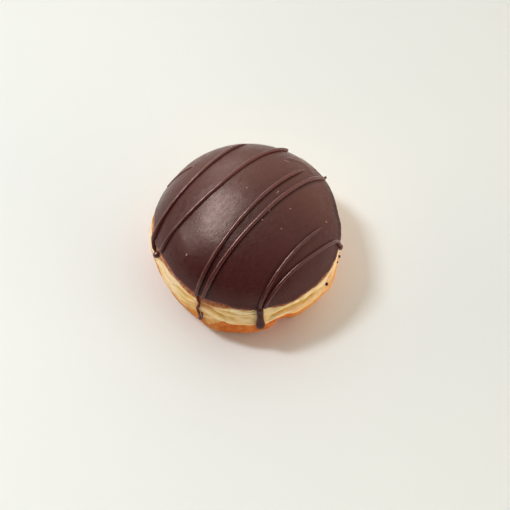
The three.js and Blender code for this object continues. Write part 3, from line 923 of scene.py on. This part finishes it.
class Graph:
    """The nodes of a material or of the world, made and linked in short calls."""

    def __init__(self, owner):
        self.tree = owner.node_tree
        self.shader = self.tree.nodes.get("Principled BSDF")

    def node(self, kind, inputs=None, **settings):
        made = self.tree.nodes.new(kind)
        for key, value in settings.items():
            setattr(made, key, value)
        for key, value in (inputs or {}).items():
            self.feed(made.inputs[key], value)
        return made

    def feed(self, socket, value):
        if isinstance(value, bpy.types.NodeSocket):
            self.tree.links.new(value, socket)
        else:
            socket.default_value = value

    def set(self, **values):
        for key, value in values.items():
            self.feed(self.shader.inputs[key.replace("_", " ")], value)

    def source(self, key):
        """What is linked to one of the shader's sockets."""
        return self.shader.inputs[key].links[0].from_socket

    def noise(self, size, detail=3, roughness=0.5, stretch=None, stretch_along=None):
        place = self.node("ShaderNodeTexCoord").outputs["Object"]
        if stretch:
            stretched = self.node("ShaderNodeVectorMath", {0: place, 1: stretch}, operation="MULTIPLY")
            place = stretched.outputs[0]
        if stretch_along:
            azimuth, times = stretch_along
            stretched = self.node("ShaderNodeMapping", {
                "Vector": place, "Rotation": (0, 0, math.radians(azimuth)), "Scale": (times, 1, 1),
            }, vector_type="TEXTURE")
            place = stretched.outputs[0]
        made = self.node("ShaderNodeTexNoise", {
            "Vector": place, "Scale": 1 / (size * MM), "Detail": detail, "Roughness": roughness,
        })
        return made.outputs["Fac"]

    def patches(self, settings, span, values):
        """Noise with these settings, of which a span becomes these values."""
        return self.map(self.noise(**settings), *span, *values)

    def mask(self, name):
        return self.node("ShaderNodeAttribute", attribute_name=name).outputs["Fac"]

    def share(self, name, strength):
        """A mask times a strength."""
        return self.map(self.mask(name), 0, 1, 0, strength)

    def map(self, value, low, high, to_low=0.0, to_high=1.0):
        made = self.node("ShaderNodeMapRange", {
            "Value": value, "From Min": low, "From Max": high, "To Min": to_low, "To Max": to_high,
        })
        return made.outputs["Result"]

    def math(self, operation, a, b):
        return self.node("ShaderNodeMath", {0: a, 1: b}, operation=operation).outputs[0]

    def mix(self, share, a, b, blend="MIX"):
        made = self.node("ShaderNodeMix", data_type="RGBA", blend_type=blend)
        for key, value in ((0, share), (6, a), (7, b)):
            if not isinstance(value, bpy.types.NodeSocket) and key > 0:
                value = (*value, 1)
            self.feed(made.inputs[key], value)
        return made.outputs[2]

    def ramp(self, value, stops):
        made = self.node("ShaderNodeValToRGB", {"Fac": value})
        elements = made.color_ramp.elements
        while len(elements) < len(stops):
            elements.new(1)
        for element, (place, colour) in zip(elements, stops):
            element.position = place
            element.color = (*colour, 1)
        return made.outputs["Color"]

    def bump(self, height, depth, strength):
        made = self.node("ShaderNodeBump", {
            "Height": height, "Distance": depth * MM, "Strength": strength,
        })
        self.set(Normal=made.outputs["Normal"])


def new_material(name):
    material = bpy.data.materials.new(name)
    material.use_nodes = True
    return material, Graph(material)


def dough_material():
    material, graph = new_material("dough")
    streaked = graph.math("ADD", graph.mask("depth"), graph.patches(*BELT_STREAKS))
    belt = graph.ramp(streaked, BELT_COLOURS)
    belt = graph.mix(graph.map(graph.mask("tint"), 0, -1), belt, CREAM, "MULTIPLY")
    belt = graph.mix(graph.map(graph.mask("tint"), 0, 1), belt, GOLD, "MULTIPLY")
    # Painted highlight on the crests and the raised fine relief
    belt = graph.mix(graph.share("crest", CREST_HIGHLIGHT_STRENGTH), belt, CREST_HIGHLIGHT_COLOUR)
    # Painted highlight along the belt's rim over the crust
    belt = graph.mix(graph.share("rim", RIM_HIGHLIGHT_STRENGTH), belt, RIM_HIGHLIGHT_COLOUR)
    # Wrinkles and folds: the dough's own gold with painted shade
    belt = graph.mix(graph.share("wrinkle", WRINKLE_STRENGTH), belt, WRINKLE_COLOUR)
    folds = graph.math("MULTIPLY", graph.mask("fold"), graph.patches(*FOLD_BREAKS))
    belt = graph.mix(folds, belt, FOLD_COLOUR)
    crust = graph.ramp(graph.noise(**CRUST_MOTTLE), CRUST_COLOURS)
    colour = graph.mix(graph.mask("crust"), belt, crust)
    seep = graph.math("MULTIPLY", graph.mask("seep"), graph.patches(*SEEP_JAGS))
    colour = graph.mix(seep, colour, SEEP_COLOUR)
    colour = graph.mix(graph.mask("stain"), colour, STAIN_COLOUR)
    graph.set(
        Base_Color=colour, Roughness=graph.map(graph.mask("crust"), 0, 1, BELT_ROUGHNESS, CRUST_ROUGHNESS),
        Subsurface_Weight=GLOW_WEIGHT, Subsurface_Radius=GLOW_RADIUS, Subsurface_Scale=GLOW_REACH * MM,
        Specular_IOR_Level=0,
    )
    graph.bump(graph.noise(**DOUGH_GRAIN), *DOUGH_BUMP)
    return material


def chocolate_material(name, dark, light, roughness, shine, tint, toned=False):
    """Chocolate between two colours, by its mask of painted light and shade or in patches."""
    material, graph = new_material(name)
    if toned:
        mottled = graph.math("ADD", graph.mask("tone"), graph.patches(*TONE_MOTTLE))
        tone = graph.node("ShaderNodeClamp", {0: mottled}).outputs[0]
    else:
        tone = graph.patches(*TONE_PATCHES)
    graph.set(
        Base_Color=graph.mix(tone, dark, light), Roughness=graph.patches(*SHEEN_STREAKS, roughness),
        Specular_IOR_Level=shine, Specular_Tint=(*tint, 1),
    )
    brushed = graph.math("ADD", graph.noise(**CHOCOLATE_GRAIN), graph.noise(**FINE_STREAKS))
    graph.bump(brushed, *CHOCOLATE_BUMP)
    return material, graph


def coat_material():
    """Chocolate with painted shade low down and in crevices, a thin edge, flecks, a painted rim sheen and a
    dull place.
    """
    material, graph = chocolate_material("chocolate", **COAT_CHOCOLATE)
    colour = graph.mix(graph.mask("deep"), graph.source("Base Color"), LOW_SHADE_COLOUR)
    colour = graph.mix(graph.mask("thin"), colour, THIN_COLOUR)
    flecks = graph.math("MULTIPLY", graph.mask("fleck"), graph.patches(*FLECK_PATCHES))
    colour = graph.mix(flecks, colour, FLECK_COLOUR)
    bloom = graph.math("MULTIPLY", graph.mask("bloom"), graph.patches(*RIM_REFLECTION_PATCHES))
    colour = graph.mix(bloom, colour, RIM_REFLECTION_COLOUR)
    colour = graph.mix(graph.share("shade", SHADE_STRENGTH), colour, SHADE_COLOUR)
    roughness = graph.math("ADD", graph.source("Roughness"), graph.share("dull", DULL_ROUGHNESS))
    graph.set(Base_Color=colour, Roughness=roughness)
    return material


# The doughnut

dough = dough_piece(dough_material())
drizzle_finish, _ = chocolate_material("chocolate_drizzle", **DRIZZLE_CHOCOLATE)
shaded_drip_finish, _ = chocolate_material("chocolate_drip", **SHADED_DRIP_CHOCOLATE)
thin_finish, _ = chocolate_material("chocolate_thin", **THIN_CHOCOLATE)
pale_finish, _ = chocolate_material("chocolate_pale", **PALE_CHOCOLATE)
coat = coat_piece(coat_material())
drizzle = drizzle_piece(drizzle_finish)
drip = drip_piece(shaded_drip_finish)
trickles = trickle_piece(thin_finish)
specks = speck_piece(drizzle_finish)
dabs = dab_piece(pale_finish)

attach(dough, "root")
for piece in (coat, drizzle, drip, trickles, specks, dabs):
    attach(piece, "root")
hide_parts("dough")
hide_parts("icing")
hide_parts("icing")
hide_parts("icing")


# Floor, light and camera

def floor_piece():
    material, graph = new_material("floor")
    graph.set(Base_Color=(*FLOOR_COLOUR, 1), Roughness=FLOOR_ROUGHNESS, Specular_IOR_Level=FLOOR_SHINE)
    corners = [(x * FLOOR_HALF, y * FLOOR_HALF, 0) for x, y in ((-1, -1), (1, -1), (1, 1), (-1, 1))]
    return new_object("floor", corners, [(0, 1, 2, 3)], material)


def toward(azimuth, elevation):
    a, e = math.radians(azimuth), math.radians(elevation)
    return Vector((math.cos(a) * math.cos(e), math.sin(a) * math.cos(e), math.sin(e)))


def softbox(name, azimuth, elevation, distance, wide, tall, power, tint, mirrored):
    """A lamp that lights the scene or, if mirrored, only shows in shiny faces."""
    light = bpy.data.lights.new(name, "AREA")
    light.shape = "RECTANGLE"
    light.size = wide
    light.size_y = tall
    light.energy = power
    light.color = tint
    lamp = bpy.data.objects.new(name, light)
    lamp.visible_glossy = mirrored
    lamp.visible_diffuse = not mirrored
    away = toward(azimuth, elevation)
    target = Vector((0, 0, DOUGH_HEIGHT * MM / 2))
    lamp.location = target + away * distance
    lamp.rotation_euler = away.to_track_quat("Z", "Y").to_euler()
    bpy.context.scene.collection.objects.link(lamp)


def surroundings():
    """A pale room that is bright behind and to the right and dark in front."""
    world = bpy.data.worlds.new("studio")
    world.use_nodes = True
    graph = Graph(world)
    background = world.node_tree.nodes["Background"]
    direction = graph.node("ShaderNodeTexCoord").outputs["Generated"]
    bright_side = toward(ROOM_AZIMUTH, 0)
    side = graph.node("ShaderNodeVectorMath", {0: direction, 1: bright_side}, operation="DOT_PRODUCT")
    glow = graph.map(side.outputs["Value"], *ROOM_SPAN, DARK_GLOW, BRIGHT_GLOW)
    graph.feed(background.inputs["Strength"], glow)
    background.inputs["Color"].default_value = (*ROOM_TINT, 1)
    bpy.context.scene.world = world


def camera():
    data = bpy.data.cameras.new("camera")
    data.lens = CAMERA_LENS
    data.sensor_width = SENSOR_WIDTH
    data.clip_start = CAMERA_NEAREST * MM
    placed = bpy.data.objects.new("camera", data)
    placed.location = Vector(CAMERA_PLACE) * MM
    placed.rotation_euler = (math.radians(90 - CAMERA_ELEVATION), 0, 0)
    bpy.context.scene.collection.objects.link(placed)
    bpy.context.scene.camera = placed


floor_piece()
for name, settings in LAMPS.items():
    softbox(name, *settings)
surroundings()
camera()
bpy.context.scene.view_settings.view_transform = "Standard"
